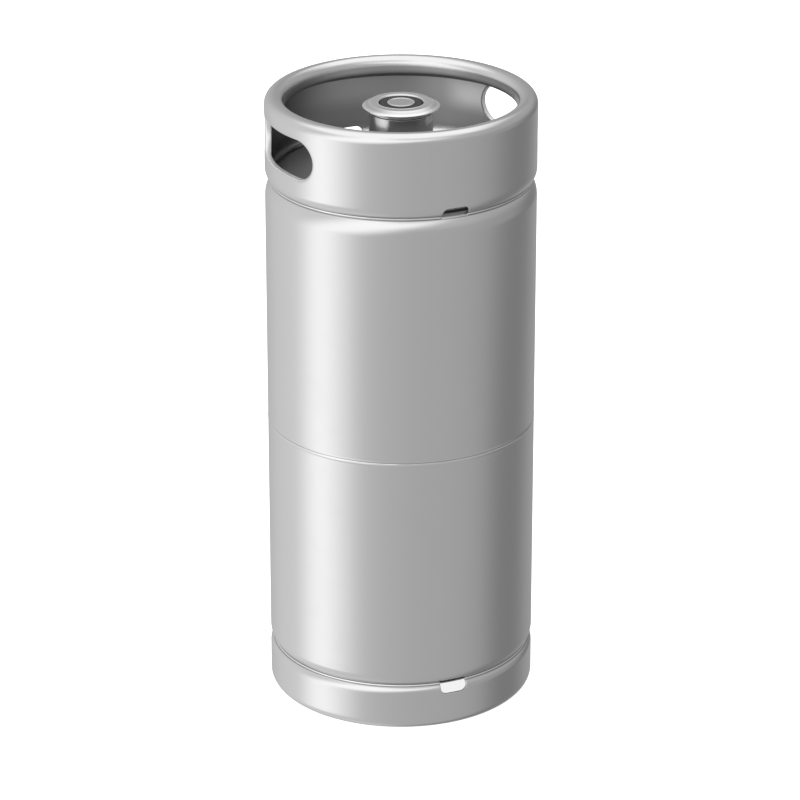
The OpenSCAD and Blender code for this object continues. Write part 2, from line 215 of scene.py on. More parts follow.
def steel(name, base=0.62, rough=0.26, aniso=0.35, grain=1.0, smudge=1.0, marks=1.0, tint=(1, 1, 1),
          grain_dir=(30, 30, 2600), dark_bands=(), dull=(), inner=None, pale=None, shade=None):
    """Satin stainless steel: fine directional grain, handling smudges, small dents and scratches; the optional bands,
    rings, shade and inner masks paint shade and highlights into the colour.
    """
    mat = bpy.data.materials.new(name)
    g = G(nt(mat))
    tc = g.n("ShaderNodeTexCoord")
    pos = tc.outputs["Object"]
    fine = g.noise(g.stretch(pos, grain_dir), 1.0, 4.0, 0.65)
    fine2 = g.noise(pos, 900.0, 2.0, 0.6)
    cloud = g.noise(pos, 9.0, 3.0, 0.55, 0.4)
    cloud2 = g.noise(pos, 46.0, 3.0, 0.6, 0.8)
    # short scratches in two leanings
    s1 = g.noise(g.stretch(pos, (160, 160, 22)), 1.0, 1.0, 0.5, 0.3)
    s2 = g.noise(g.stretch(pos, (24, 24, 420)), 1.0, 1.0, 0.5, 0.5)
    scr = g.math("ADD", g.ramp(s1, 0.75, 0.78), g.ramp(s2, 0.76, 0.79), clamp=True)
    # specks and dings
    vor = g.n("ShaderNodeTexVoronoi", feature="F1")
    g.put(vor.inputs["Vector"], pos)
    vor.inputs["Scale"].default_value = 55.0
    vor.inputs["Randomness"].default_value = 1.0
    ding = g.ramp(vor.outputs["Distance"], 0.10, 0.03)
    pick = g.n("ShaderNodeSeparateColor")
    g.link(vor.outputs["Color"], pick.inputs["Color"])
    ding = g.math("MULTIPLY", ding, g.math("GREATER_THAN", pick.outputs[0], 0.86))
    # base colour
    lo = tuple(base * 0.985 * c for c in tint) + (1,)
    hi = tuple(base * 1.015 * c for c in tint) + (1,)
    col = g.mixc(g.math("MULTIPLY", cloud, smudge, clamp=True), hi, lo)
    col = g.mixc(g.math("MULTIPLY", g.ramp(cloud2, 0.50, 0.72), 0.03 * smudge), col, (base * 0.8, base * 0.8, base * 0.8, 1))
    col = g.mixc(g.math("MULTIPLY", ding, 0.10 * marks), col, (base * 0.45, base * 0.45, base * 0.45, 1))
    col = g.mixc(g.math("MULTIPLY", scr, 0.05 * marks), col, (min(1, base * 1.25),) * 3 + (1,))
    sep = g.n("ShaderNodeSeparateXYZ")
    g.link(pos, sep.inputs[0])
    # painted shade: dark bands at given heights stand for the shaded grooves at the weld toes and the girth seam, the
    # shadow gap under the fitting and a darker flange slope
    for (zc, half, amount) in dark_bands:
        d = g.math("ABSOLUTE", g.math("SUBTRACT", sep.outputs[2], zc))
        col = g.mixc(g.math("MULTIPLY", g.ramp(d, half, half * 0.35), amount), col, (base * 0.12,) * 3 + (1,))
    # painted shade in the well, on the back of the chimes and under the keg, and a paler pickled finish on the dome
    radius = g.math("SQRT", g.math("ADD", g.math("MULTIPLY", sep.outputs[0], sep.outputs[0]), g.math("MULTIPLY", sep.outputs[1], sep.outputs[1])))
    metal, soft = None, None
    if pale:
        # pickled, unpolished sheet: paler, rougher, less of a mirror
        (r0, r1, r2, r3, pale_base, pale_rough, pale_metal) = pale
        m = g.math("MULTIPLY", g.ramp(radius, r0, r1), g.ramp(radius, r3, r2))
        m = g.math("MULTIPLY", m, g.ramp(sep.outputs[2], 0.47, 0.48))
        col = g.mixc(m, col, (pale_base,) * 3 + (1,))
        metal = g.math("MULTIPLY_ADD", m, pale_metal - 1.0, 1.0)
        soft = g.math("MULTIPLY", m, pale_rough - rough)
    matt = None
    # painted shade: rings darken the dome towards its outer edge, paint a dark crease line where the chime meets the
    # dome, and darken the lower shell under the keg; they also roughen the sheet
    for (r0, r1, r2, r3, z0, z1, amount, keep) in dull:
        m = g.math("MULTIPLY", g.ramp(radius, r0, r1), g.ramp(radius, r3, r2))
        m = g.math("MULTIPLY", m, g.ramp(sep.outputs[2], z1, z0))
        m = g.math("MULTIPLY", m, amount)
        col = g.mixc(m, col, (base * keep,) * 3 + (1,))
        matt = m if matt is None else g.math("MAXIMUM", matt, m)
    if shade:
        # painted shade: the west side of the dome's outer ring is painted darker than the rest
        west = g.math("DIVIDE", g.math("ADD", g.math("MULTIPLY", sep.outputs[0], -0.966), g.math("MULTIPLY", sep.outputs[1], 0.259)), radius)
        m = g.math("MULTIPLY", g.ramp(west, 0.50, 0.80), g.math("MULTIPLY", g.ramp(radius, 0.062, 0.082), g.ramp(radius, 0.1134, 0.1126)))
        m = g.math("MULTIPLY", m, g.ramp(sep.outputs[2], 0.47, 0.48))
        col = g.mixc(g.math("MULTIPLY", m, 0.9), col, (base * shade,) * 3 + (1,))
    if inner:
        # painted light and shade on the side of the sheet that faces the axis, and on the rim's lip
        (keep_left, keep_mid, keep_right, keep_dark, lip_base) = inner
        nor = g.n("ShaderNodeSeparateXYZ")
        g.link(tc.outputs["Normal"], nor.inputs[0])
        dot = g.math("ADD", g.math("MULTIPLY", sep.outputs[0], nor.outputs[0]), g.math("MULTIPLY", sep.outputs[1], nor.outputs[1]))
        facing = g.ramp(g.math("DIVIDE", dot, radius), -0.25, -0.65)
        side = g.math("DIVIDE", g.math("ADD", g.math("MULTIPLY", sep.outputs[0], 0.866), g.math("MULTIPLY", sep.outputs[1], 0.5)), radius)
        west = g.math("DIVIDE", g.math("ADD", g.math("MULTIPLY", sep.outputs[0], -0.966), g.math("MULTIPLY", sep.outputs[1], 0.259)), radius)
        left = g.ramp(west, 0.50, 0.80)
        upper = g.ramp(sep.outputs[2], 0.501, 0.520)
        # painted shade and light: the inner wall is painted darker to the west and paler to the east, lighter towards
        # its lower part, with a near-white painted highlight stripe by the hand hole at +X
        tone = g.mixc(g.ramp(side, -0.6, 0.5), (base * keep_left,) * 3 + (1,), (base * keep_mid,) * 3 + (1,))
        tone = g.mixc(g.ramp(side, 0.76, 1.0), tone, (base * keep_right,) * 3 + (1,))
        tone = g.mixc(g.math("MULTIPLY", g.ramp(sep.outputs[2], 0.528, 0.496), g.math("MULTIPLY_ADD", left, -0.28, 0.45)), tone, (base * 0.85,) * 3 + (1,))
        tone_up = g.mixc(g.ramp(side, -0.35, 0.62), (base * keep_left * 1.2,) * 3 + (1,), (base * 0.86,) * 3 + (1,))
        tone_up = g.mixc(g.ramp(side, 0.945, 0.998), tone_up, (0.98,) * 3 + (1,))
        tone = g.mixc(upper, tone, tone_up)
        # painted highlight mask: the near-white stripe by the hand hole at +X
        glow = g.math("MULTIPLY", g.math("MULTIPLY", facing, g.ramp(radius, 0.1155, 0.1162)), g.math("MULTIPLY", g.ramp(sep.outputs[2], 0.497, 0.520), g.ramp(side, 0.950, 0.998)))
        m = g.math("MULTIPLY", facing, g.ramp(radius, 0.1155, 0.1162))
        col = g.mixc(m, col, tone)
        # painted shade: the inner bend at the chime's lower edge is set to a dark tone on the west side
        bend = g.math("MULTIPLY", g.ramp(g.math("DIVIDE", dot, radius), 0.15, -0.10), g.math("MULTIPLY", g.ramp(sep.outputs[2], 0.502, 0.494), g.ramp(sep.outputs[2], 0.30, 0.31)))
        col = g.mixc(g.math("MULTIPLY", bend, g.math("MULTIPLY", left, 0.92)), col, (base * keep_left * 1.7,) * 3 + (1,))
        # painted shadow: a dark band on the inner wall just under the rim's lip, and a dark crease low on the inner
        # side by the weld
        dark = g.math("MULTIPLY", g.ramp(sep.outputs[2], 0.5328, 0.5340), m)
        low = g.math("MULTIPLY", g.ramp(sep.outputs[2], 0.4832, 0.4822), g.ramp(sep.outputs[2], 0.30, 0.31))
        dark = g.math("MAXIMUM", dark, g.math("MULTIPLY", low, g.ramp(radius, 0.1155, 0.1145)))
        flat = g.math("ABSOLUTE", g.math("DIVIDE", dot, radius))
        # painted shadow: a dark line on the inner wall round the hand-hole lips
        rims = g.math("MULTIPLY", g.math("MULTIPLY", g.ramp(flat, 0.97, 0.90), g.ramp(flat, 0.62, 0.74)), g.math("MULTIPLY", g.ramp(sep.outputs[2], 0.503, 0.506), g.ramp(sep.outputs[2], 0.5375, 0.536)))
        rims = g.math("MULTIPLY", rims, g.math("MULTIPLY", g.ramp(radius, 0.1180, 0.1172), g.ramp(g.math("DIVIDE", dot, radius), 0.0, -0.2)))
        # painted light: the turned-in hand-hole lips are painted pale and made less metallic, so they read as lit
        # strips
        turned = g.ramp(flat, 0.75, 0.45)
        turned = g.math("MULTIPLY", turned, g.math("MULTIPLY", g.ramp(radius, 0.1180, 0.1172), g.ramp(radius, 0.1095, 0.1105)))
        turned = g.math("MULTIPLY", turned, g.math("MULTIPLY", g.ramp(sep.outputs[2], 0.497, 0.501), g.ramp(sep.outputs[2], 0.543, 0.540)))
        col = g.mixc(turned, col, (0.80,) * 3 + (1,))
        dark = g.math("MAXIMUM", dark, g.math("MULTIPLY", rims, 0.8))
        # painted shade: the rim's lip is painted darker on the west side
        lip = g.math("MULTIPLY", g.ramp(radius, 0.1085, 0.1055), g.math("MULTIPLY", g.ramp(sep.outputs[2], 0.5510, 0.5455), g.ramp(sep.outputs[2], 0.520, 0.530)))
        lip_tone = g.mixc(g.ramp(west, 0.25, 0.78), (lip_base,) * 3 + (1,), (lip_base * 0.42,) * 3 + (1,))
        col = g.mixc(lip, col, lip_tone)
        # painted shade on the lower part of the rim's lip
        dark = g.math("MAXIMUM", dark, g.math("MULTIPLY", lip, g.ramp(sep.outputs[2], 0.5450, 0.5396)))
        col = g.mixc(dark, col, (base * keep_dark,) * 3 + (1,))
        matt = m if matt is None else g.math("MAXIMUM", matt, m)
        # the painted highlight stripe, the pale hand-hole lips and the rim's lip are made less metallic and rougher,
        # so they read bright and diffuse
        metal = g.math("MULTIPLY_ADD", g.math("MAXIMUM", lip, turned), -0.30, 1.0)
        metal = g.math("MULTIPLY_ADD", glow, -0.85, metal, clamp=True)
        soft = g.math("MULTIPLY", g.math("MAXIMUM", g.math("MAXIMUM", lip, turned), glow), 0.18)
    # roughness
    r = g.math("MULTIPLY_ADD", g.math("SUBTRACT", fine, 0.5), 0.04 * grain, rough)
    r = g.math("MULTIPLY_ADD", g.math("SUBTRACT", cloud, 0.5), 0.05 * smudge, r)
    r = g.math("MULTIPLY_ADD", g.ramp(cloud2, 0.52, 0.75), 0.02 * smudge, r)
    r = g.math("MULTIPLY_ADD", scr, 0.04 * marks, r, clamp=True)
    if matt is not None:
        r = g.math("MULTIPLY_ADD", matt, 0.12, r, clamp=True)
    if soft is not None:
        r = g.math("ADD", r, soft, clamp=True)
    # bump
    h = g.math("MULTIPLY_ADD", fine, 0.6 * grain, g.math("MULTIPLY", fine2, 0.25 * grain))
    h = g.math("MULTIPLY_ADD", ding, -0.6 * marks, h)
    h = g.math("MULTIPLY_ADD", scr, -0.2 * marks, h)
    bump = g.n("ShaderNodeBump")
    bump.inputs["Strength"].default_value = 0.12
    bump.inputs["Distance"].default_value = 0.00001
    g.link(h, bump.inputs["Height"])
    b = g.n("ShaderNodeBsdfPrincipled")
    g.link(col, b.inputs["Base Color"])
    g.link(r, b.inputs["Roughness"])
    g.link(bump.outputs["Normal"], b.inputs["Normal"])
    if metal is None:
        b.inputs["Metallic"].default_value = 1.0
    else:
        g.link(metal, b.inputs["Metallic"])
    b.inputs["Anisotropic"].default_value = aniso
    if aniso > 0:
        tan = g.n("ShaderNodeTangent", direction_type="RADIAL", axis="Z")
        g.link(tan.outputs[0], b.inputs["Tangent"])
    out = g.n("ShaderNodeOutputMaterial")
    g.link(b.outputs[0], out.inputs[0])
    return mat


def rubber(name):
    mat = bpy.data.materials.new(name)
    g = G(nt(mat))
    pos = g.n("ShaderNodeTexCoord").outputs["Object"]
    n1 = g.noise(pos, 420.0, 4.0, 0.6)
    n2 = g.noise(pos, 60.0, 2.0, 0.5)
    col = g.mixc(g.ramp(n1, 0.45, 0.75), (0.018, 0.018, 0.018, 1), (0.045, 0.045, 0.045, 1))
    col = g.mixc(g.math("MULTIPLY", g.ramp(n2, 0.5, 0.7), 0.4), col, (0.06, 0.06, 0.058, 1))
    r = g.math("MULTIPLY_ADD", n1, 0.25, 0.42)
    bump = g.n("ShaderNodeBump")
    bump.inputs["Strength"].default_value = 0.5
    bump.inputs["Distance"].default_value = 0.00008
    g.link(n1, bump.inputs["Height"])
    b = g.n("ShaderNodeBsdfPrincipled")
    g.link(col, b.inputs["Base Color"])
    g.link(r, b.inputs["Roughness"])
    g.link(bump.outputs[0], b.inputs["Normal"])
    b.inputs["Specular IOR Level"].default_value = 0.45
    out = g.n("ShaderNodeOutputMaterial")
    g.link(b.outputs[0], out.inputs[0])
    return mat


def plastic(name):
    mat = bpy.data.materials.new(name)
    g = G(nt(mat))
    pos = g.n("ShaderNodeTexCoord").outputs["Object"]
    n1 = g.noise(pos, 300.0, 3.0, 0.55)
    n2 = g.noise(pos, 40.0, 2.0, 0.5)
    col = g.mixc(n2, (0.74, 0.74, 0.71, 1), (0.82, 0.82, 0.80, 1))
    bump = g.n("ShaderNodeBump")
    bump.inputs["Strength"].default_value = 0.3
    bump.inputs["Distance"].default_value = 0.00005
    g.link(n1, bump.inputs["Height"])
    b = g.n("ShaderNodeBsdfPrincipled")
    g.link(col, b.inputs["Base Color"])
    g.link(g.math("MULTIPLY_ADD", n1, 0.2, 0.38), b.inputs["Roughness"])
    g.link(bump.outputs[0], b.inputs["Normal"])
    b.inputs["Subsurface Weight"].default_value = 0.05
    out = g.n("ShaderNodeOutputMaterial")
    g.link(b.outputs[0], out.inputs[0])
    return mat


TOP_TOE_Z = (TAN_TOP + KRT * math.sin(math.radians(TOP_TOE))) * MM
BOT_TOE_Z = (TAN_BOT - KRB * math.sin(math.radians(BOT_TOE))) * MM
TE_OUT_Z = (CBZ + CBR * math.sin(math.radians(TE_OUT))) * MM
FE_OUT_Z = (FBZ + FBR * math.sin(math.radians(FE_OUT))) * MM
# painted shade on the shells: dark bands at the top weld's toe, the girth seam and the bottom weld's toe, dark rings
# on the dome's outer part and its crease, a darker west side, and the lower shell darkened under the keg
M_SHELL = steel("steel_shell", 0.63, 0.22, 0.3, 1.0, 1.0, 1.0,
                dull=[(0.030, 0.084, 0.1126, 0.1134, 0.60, 0.61, 0.9, 0.60), (0.1080, 0.1087, 0.1104, 0.1110, 0.60, 0.61, 0.97, 0.06)],
                pale=(0.026, 0.029, 0.1100, 0.1126, 0.80, 0.36, 0.70), shade=0.30, dark_bands=((TOP_TOE_Z - 0.0002, 0.0006, 0.5), ((GIRTH_Z + 1.1) * MM, 0.0006, 0.40)))
M_SHELL_LOW = steel("steel_shell_low", 0.63, 0.22, 0.3, 1.0, 1.0, 1.0,
                    dull=[(-0.02, -0.01, 0.1134, 0.1142, 0.10, 0.11, 1.0, 0.35)], dark_bands=((BOT_TOE_Z + 0.0002, 0.0006, 0.6),))
# painted light and shade on the chimes: dark bands at the sheet edges by the welds, and the inner-side tones, lines
# and highlight
M_CHIME = steel("steel_chime", 0.63, 0.20, 0.2, 0.9, 1.0, 1.0,
                inner=(0.20, 0.42, 0.86, 0.20, 0.56),
                dark_bands=((TE_OUT_Z + 0.0002, 0.0007, 0.6), (FE_OUT_Z - 0.0002, 0.0006, 0.4)))
M_WELD = steel("steel_weld", 0.50, 0.30, 0.0, 0.6, 1.2, 0.3, grain_dir=(700, 700, 700))
M_WELD_MID = steel("steel_weld_mid", 0.69, 0.18, 0.0, 0.6, 1.2, 0.3, grain_dir=(700, 700, 700))
# painted shade: dark lines at the toes of the chime welds
M_WELD_TOP = steel("steel_weld_top", 0.80, 0.18, 0.0, 0.6, 1.2, 0.3, grain_dir=(700, 700, 700),
                   dark_bands=((0.47815, 0.0008, 0.9), (0.48105, 0.0009, 0.95)))
M_WELD_LOW = steel("steel_weld_low", 0.80, 0.18, 0.0, 0.6, 1.2, 0.3, grain_dir=(700, 700, 700),
                   dark_bands=((0.04345, 0.0008, 0.9), (0.04085, 0.0007, 0.9)))
# painted shade: a dark band for the shadow gap at the top of the neck, and a darker band across the flange's slope
M_NECK = steel("steel_neck", 0.50, 0.20, 0.5, 2.4, 1.0, 0.6, dark_bands=((0.5373, 0.0018, 0.6),),
               pale=(0.020, 0.021, 0.040, 0.041, 0.55, 0.20, 0.84))
M_VALVE = steel("steel_valve", 0.70, 0.22, 0.4, 1.4, 0.8, 0.8, dark_bands=((0.5459, 0.0010, 0.18),))
M_INNER = steel("steel_inner", 0.60, 0.28, 0.3, 1.0, 0.8, 0.4)
M_SPRING = steel("steel_spring", 0.66, 0.18, 0.0, 0.5, 0.5, 0.3)
M_RUBBER = rubber("rubber_black")
M_PLASTIC = plastic("plastic_white")


# ---------------------------------------------------------------- shells
def top_knuckle(r, deg):
    a = math.radians(deg)
    return (KXT + r * math.cos(a), TAN_TOP + r * math.sin(a))


def bot_knuckle(r, deg):
    a = math.radians(deg)
    return (KXB + r * math.cos(a), TAN_BOT - r * math.sin(a))


def rows(z0, z1, step):
    n = max(1, int(round(abs(z1 - z0) / step)))
    return [z0 + (z1 - z0) * i / n for i in range(n + 1)]


pt, pb = math.degrees(PHI_TOP), math.degrees(PHI_BOT)


def ease(t):
    t = min(1.0, max(0.0, t))
    return 0.5 - 0.5 * math.cos(math.pi * t)


def seam_draw(r, z, a):
    """Beside the girth seam the upper edge flares a little and the lower edge rolls in under the bead."""
    if r < R - 3:
        return r, z
    d = z - GIRTH_Z
    k = 1 + 0.10 * math.sin(3 * a + 1) + 0.08 * math.sin(11 * a)
    if d > 0:
        return r + k * 0.155 * ease((3.2 - d) / 1.9), z
    d = -d
    return r + k * (0.13 * ease((2.4 - d) / 1.5) - 0.05 * ease(1 - abs(d - 2.7) / 1.9)), z


up_out = [(R, z) for z in rows(GIRTH_Z + 0.8, GIRTH_Z + 5.2, 0.4)[:-1]] + [(R, z) for z in rows(GIRTH_Z + 5.2, GIRTH_Z + 16, 2.7)[:-1]] + [(R, z) for z in rows(GIRTH_Z + 16, TAN_TOP, 8)[:-1]]
up_out += [top_knuckle(KRT, (90 - pt) * i / 36) for i in range(37)]
up_out += arc(0, CZ_TOP, CR_TOP, 90 - pt + 0.4, math.degrees(math.acos(NECK_R / CR_TOP)), 30)
up_in = arc(0, CZ_TOP, CR_TOP - SHELL_T, math.degrees(math.acos(NECK_R / (CR_TOP - SHELL_T))), 90 - pt + 0.4, 16)
up_in += [top_knuckle(KRT - SHELL_T, (90 - pt) * i / 12) for i in range(12, -1, -1)]
up_in += [(R - SHELL_T, z) for z in rows(TAN_TOP - 20, GIRTH_Z + 0.8, 40)]
upper = revolve("upper_shell_skin", up_out + up_in, 288, shape=seam_draw)

lo_out = [(R, z) for z in rows(GIRTH_Z - 0.8, GIRTH_Z - 5.2, 0.4)[:-1]] + [(R, z) for z in rows(GIRTH_Z - 5.2, GIRTH_Z - 16, 2.7)[:-1]] + [(R, z) for z in rows(GIRTH_Z - 16, TAN_BOT, 8)[:-1]]
lo_out += [bot_knuckle(KRB, (90 - pb) * i / 36) for i in range(37)]
lo_out += arc(0, CZ_BOT, CR_BOT, -90 + pb - 0.4, -90, 24)
lo_in = arc(0, CZ_BOT, CR_BOT - SHELL_T, -90, -90 + pb - 0.4, 12)
lo_in += [bot_knuckle(KRB - SHELL_T, (90 - pb) * i / 12) for i in range(12, -1, -1)]
lo_in += [(R - SHELL_T, z) for z in rows(TAN_BOT + 20, GIRTH_Z - 0.8, 40)]
lower = revolve("lower_shell_skin", lo_out + lo_in, 288, shape=seam_draw)


# ---------------------------------------------------------------- chimes: sheet with holes, notches and edges
class Sheet:
    """Inner and outer skins of a turned sheet, with patches round the openings. Millimetres in, metres out."""

    def __init__(self):
        self.v, self.f, self.key = [], [], {}

    def at(self, th, r, z):
        k = (round(math.degrees(th) % 360.0, 4), round(r, 4), round(z, 4))
        i = self.key.get(k)
        if i is None:
            i = len(self.v)
            self.key[k] = i
            self.v.append((r * math.cos(th) * MM, r * math.sin(th) * MM, z * MM))
        return i

    def quad(self, *q):
        q2 = []
        for i in q:
            if i not in q2:
                q2.append(i)
        if len(q2) > 2:
            self.f.append(tuple(q2))


def resample(points, n):
    p = np.array(points, float)
    d = np.r_[0, np.cumsum(np.linalg.norm(np.diff(p, axis=0), axis=1))]
    t = np.linspace(0, d[-1], n)
    return np.stack([np.interp(t, d, p[:, 0]), np.interp(t, d, p[:, 1])], 1)


def normals_of(c, closed):
    if closed:
        t = np.roll(c, -1, 0) - np.roll(c, 1, 0)
    else:
        t = np.gradient(c, axis=0)
    t /= np.linalg.norm(t, axis=1)[:, None]
    return np.stack([-t[:, 1], t[:, 0]], 1)


def build_top_chime():
    sh = Sheet()
    N = 360
    zb = CBZ                                               # where the bend meets the wall

    def r_out(z):
        return CBX + math.sqrt(CBR ** 2 - (zb - z) ** 2) if z < zb else R

    def r_in(z):
        return CBX + math.sqrt((CBR - CHIME_T) ** 2 - (zb - z) ** 2) if z < zb else R - CHIME_T

    z_lo_out = zb + CBR * math.sin(math.radians(TE_OUT))
    z_lo_in = zb + (CBR - CHIME_T) * math.sin(math.radians(TE_IN))
    # rows of z for both skins, matched in number; the bend rows differ, the wall rows are shared
    nb = 12
    out_rows = [zb + (z_lo_out - zb) * math.sin(math.radians(90 * (nb - i) / nb)) for i in range(nb)]
    in_rows = [zb + (z_lo_in - zb) * math.sin(math.radians(90 * (nb - i) / nb)) for i in range(nb)]
    wall = [zb, zb + 2.6, 494.0, 497.0] + rows(497.0, 545.4, 2.0)[1:] + [RIM_MID]
    zo, zi = out_rows + wall, in_rows + wall
    j_notch = zo.index(494.0)
    j_h0 = zo.index(497.0)
    j_h1 = len(zo) - 2
    # hand hole centre columns
    def deg(c):
        return math.radians(c * 360.0 / N)
    HP = 33                                                  # half width of the hand-hole patch in columns
    NP = 9                                                   # half width of the notch patch in columns

    def in_hand(c, j):
        for c0 in (0, 180):
            d = (c - c0 + 180) % 360 - 180
            if -HP <= d < HP and j_h0 <= j < j_h1:
                return True
        return False

    def in_notch(c, j):
        for c0 in (90, 270):
            d = (c - c0 + 180) % 360 - 180
            if -NP <= d < NP and j < j_notch:
                return True
        return False

    for skin, zz, rf in (("o", zo, r_out), ("i", zi, r_in)):
        for c in range(N):
            for j in range(len(zz) - 1):
                if in_hand(c, j) or in_notch(c, j):
                    continue
                a, b = deg(c), deg(c + 1)
                sh.quad(sh.at(a, rf(zz[j]), zz[j]), sh.at(b, rf(zz[j]), zz[j]),
                        sh.at(b, rf(zz[j + 1]), zz[j + 1]), sh.at(a, rf(zz[j + 1]), zz[j + 1]))
    # rim: outer roll over to the lip, then back inside
    cxl, czl = R - 2 * RIM_R + RIM_CURL, RIM_MID - RIM_LIP + RIM_CURL
    rim = arc(R - RIM_R, RIM_MID, RIM_R, 0, 180, 48)
    rim += [(R - 2 * RIM_R, RIM_MID - 1.4)]
    rim += arc(cxl, czl, RIM_CURL, 180, 255, 12)
    rim += arc(cxl + (RIM_CURL - 1) * math.cos(math.radians(255)), czl + (RIM_CURL - 1) * math.sin(math.radians(255)), 1.0, 255, 435, 10)[1:-1]
    rim += arc(cxl, czl, RIM_CURL - CHIME_T, 255, 180, 8)
    rim += [(R - 2 * RIM_R + CHIME_T, RIM_MID - 1.4)]
    rim += arc(R - RIM_R, RIM_MID, RIM_R - CHIME_T, 180, 0, 30)
    rim[0] = (R, RIM_MID)
    rim[-1] = (R - CHIME_T, RIM_MID)
    for c in range(N):
        a, b = deg(c), deg(c + 1)
        for (p, q) in zip(rim[:-1], rim[1:]):
            sh.quad(sh.at(a, *p), sh.at(b, *p), sh.at(b, *q), sh.at(a, *q))
    # lower end face between the skins, outside the notches
    for c in range(N):
        if in_notch(c, 0):
            continue
        a, b = deg(c), deg(c + 1)
        sh.quad(sh.at(a, r_out(zo[0]), zo[0]), sh.at(b, r_out(zo[0]), zo[0]),
                sh.at(b, r_in(zi[0]), zi[0]), sh.at(a, r_in(zi[0]), zi[0]))

    # ---- hand holes
    hw, hh = HAND_W / 2, HAND_H / 2
    dense = []
    for (cy, s0, s1) in ((hw - hh, -90, 90), (-(hw - hh), 90, 270)):
        for k in range(181):
            a = math.radians(s0 + (s1 - s0) * k / 180)
            y, z = cy + hh * math.cos(a), hh * math.sin(a)
            dense.append((R * math.asin(y / R), z))
    dense = np.array(dense)

    def contour(boundary):
        """Stadium points matched one to one to the patch's boundary points (both in s, z about the centre)."""
        d = np.r_[dense, dense[:1]]
        L = np.r_[0, np.cumsum(np.linalg.norm(np.diff(d, axis=0), axis=1))]
        bx_, bz_ = np.abs(boundary[:, 0]).max(), np.abs(boundary[:, 1]).max()
        # anchor each boundary point by perimeter share between the four 45 degree points
        B = np.r_[boundary, boundary[:1]]
        BL = np.r_[0, np.cumsum(np.linalg.norm(np.diff(B, axis=0), axis=1))]
        corners = [i for i, (s, z) in enumerate(boundary) if abs(abs(s) - bx_) < 1e-6 and abs(abs(z) - bz_) < 1.0]
        anch = []
        for i in corners:
            s, z = boundary[i]
            a = math.radians(38)
            t = np.array([math.copysign(R * math.asin((hw - hh + hh * math.cos(a)) / R), s), math.copysign(hh * math.sin(a), z)])
            anch.append((BL[i], L[np.argmin(np.linalg.norm(dense - t, axis=1))]))
        anch.sort()
        xs = [p[0] for p in anch]
        ys = [p[1] for p in anch]
        for k in range(1, len(ys)):
            while ys[k] < ys[k - 1]:
                ys[k] += L[-1]
        xs = [xs[-1] - BL[-1]] + xs + [xs[0] + BL[-1]]
        ys = [ys[-1] - L[-1]] + ys + [ys[0] + L[-1]]
        t = np.interp(BL[:-1], xs, ys) % L[-1]
        return np.stack([np.interp(t, L, d[:, 0]), np.interp(t, L, d[:, 1])], 1)

    rho, tk, Ld = 2.6, CHIME_T, HAND_LIP + CHIME_T
    for c0 in (0, 180):
        idx = []
        for c in range(-HP, HP):
            idx.append((c, j_h0))
        for j in range(j_h0, j_h1):
            idx.append((HP, j))
        for c in range(HP, -HP, -1):
            idx.append((c, j_h1))
        for j in range(j_h1, j_h0, -1):
            idx.append((-HP, j))
        bd = np.array([(R * deg(c), zo[j] - HAND_Z) for c, j in idx])
        con = contour(bd)
        nrm = -normals_of(con, True)
        mid = con.mean(0)
        if ((mid - con) * nrm).sum() < 0:
            nrm = -nrm
        # cross-section of the turned-in lip: (offset towards the hole, depth)
        sec = [(-rho + rho * math.sin(a), rho - rho * math.cos(a)) for a in np.radians(np.linspace(0, 90, 9))]
        sec += [(0, Ld - 0.95)]
        sec += [(-0.95 + 0.95 * math.cos(a), Ld - 0.95 + 0.95 * math.sin(a)) for a in np.radians(np.linspace(15, 90, 5))]
        sec += [(-tk + 0.95 - 0.95 * math.sin(a), Ld - 0.95 + 0.95 * math.cos(a)) for a in np.radians(np.linspace(0, 90, 6))]
        sec += [(-tk, tk + 1.0)] + [(-tk - 0.9 + 0.9 * math.cos(a), tk + 0.9 - 0.9 * math.sin(a)) for a in np.radians(np.linspace(15, 90, 5))]
        rings = []
        # outer skin from the patch edge to the round
        for t in np.linspace(0, 1, 6)[:-1]:
            p = bd * (1 - t) + (con + nrm * sec[0][0]) * t
            rings.append([(p[k, 0], p[k, 1], 0.0) for k in range(len(p))])
        for (o, d) in sec:
            p = con + nrm * o
            rings.append([(p[k, 0], p[k, 1], d) for k in range(len(p))])
        for t in np.linspace(1, 0, 6)[1:]:
            p = bd * (1 - t) + (con + nrm * sec[-1][0]) * t
            rings.append([(p[k, 0], p[k, 1], tk) for k in range(len(p))])
        ids = []
        for ring in rings:
            row = []
            for (s, z, d) in ring:
                row.append(sh.at(deg(c0) + s / R, R - d, z + HAND_Z))
            ids.append(row)
        K = len(bd)
        for a, b in zip(ids[:-1], ids[1:]):
            for k in range(K):
                k2 = (k + 1) % K
                sh.quad(a[k], a[k2], b[k2], b[k])

    # ---- drain notches at the lower edge
    def notch_path(n, z_low, c0):
        w, top, rr = NOTCH_W / 2, TJ + NOTCH_TOP, NOTCH_R
        pts = [(-w, z_low)] + [(-w, z) for z in np.linspace(z_low, top - rr, 12)[1:]]
        pts += arc(-w + rr, top - rr, rr, 180, 90, 10)[1:]
        pts += [(x, top) for x in np.linspace(-w + rr, w - rr, 10)[1:]]
        pts += arc(w - rr, top - rr, rr, 90, 0, 10)[1:]
        pts += [(w, z) for z in np.linspace(top - rr, z_low, 12)[1:]]
        return resample(pts, n)

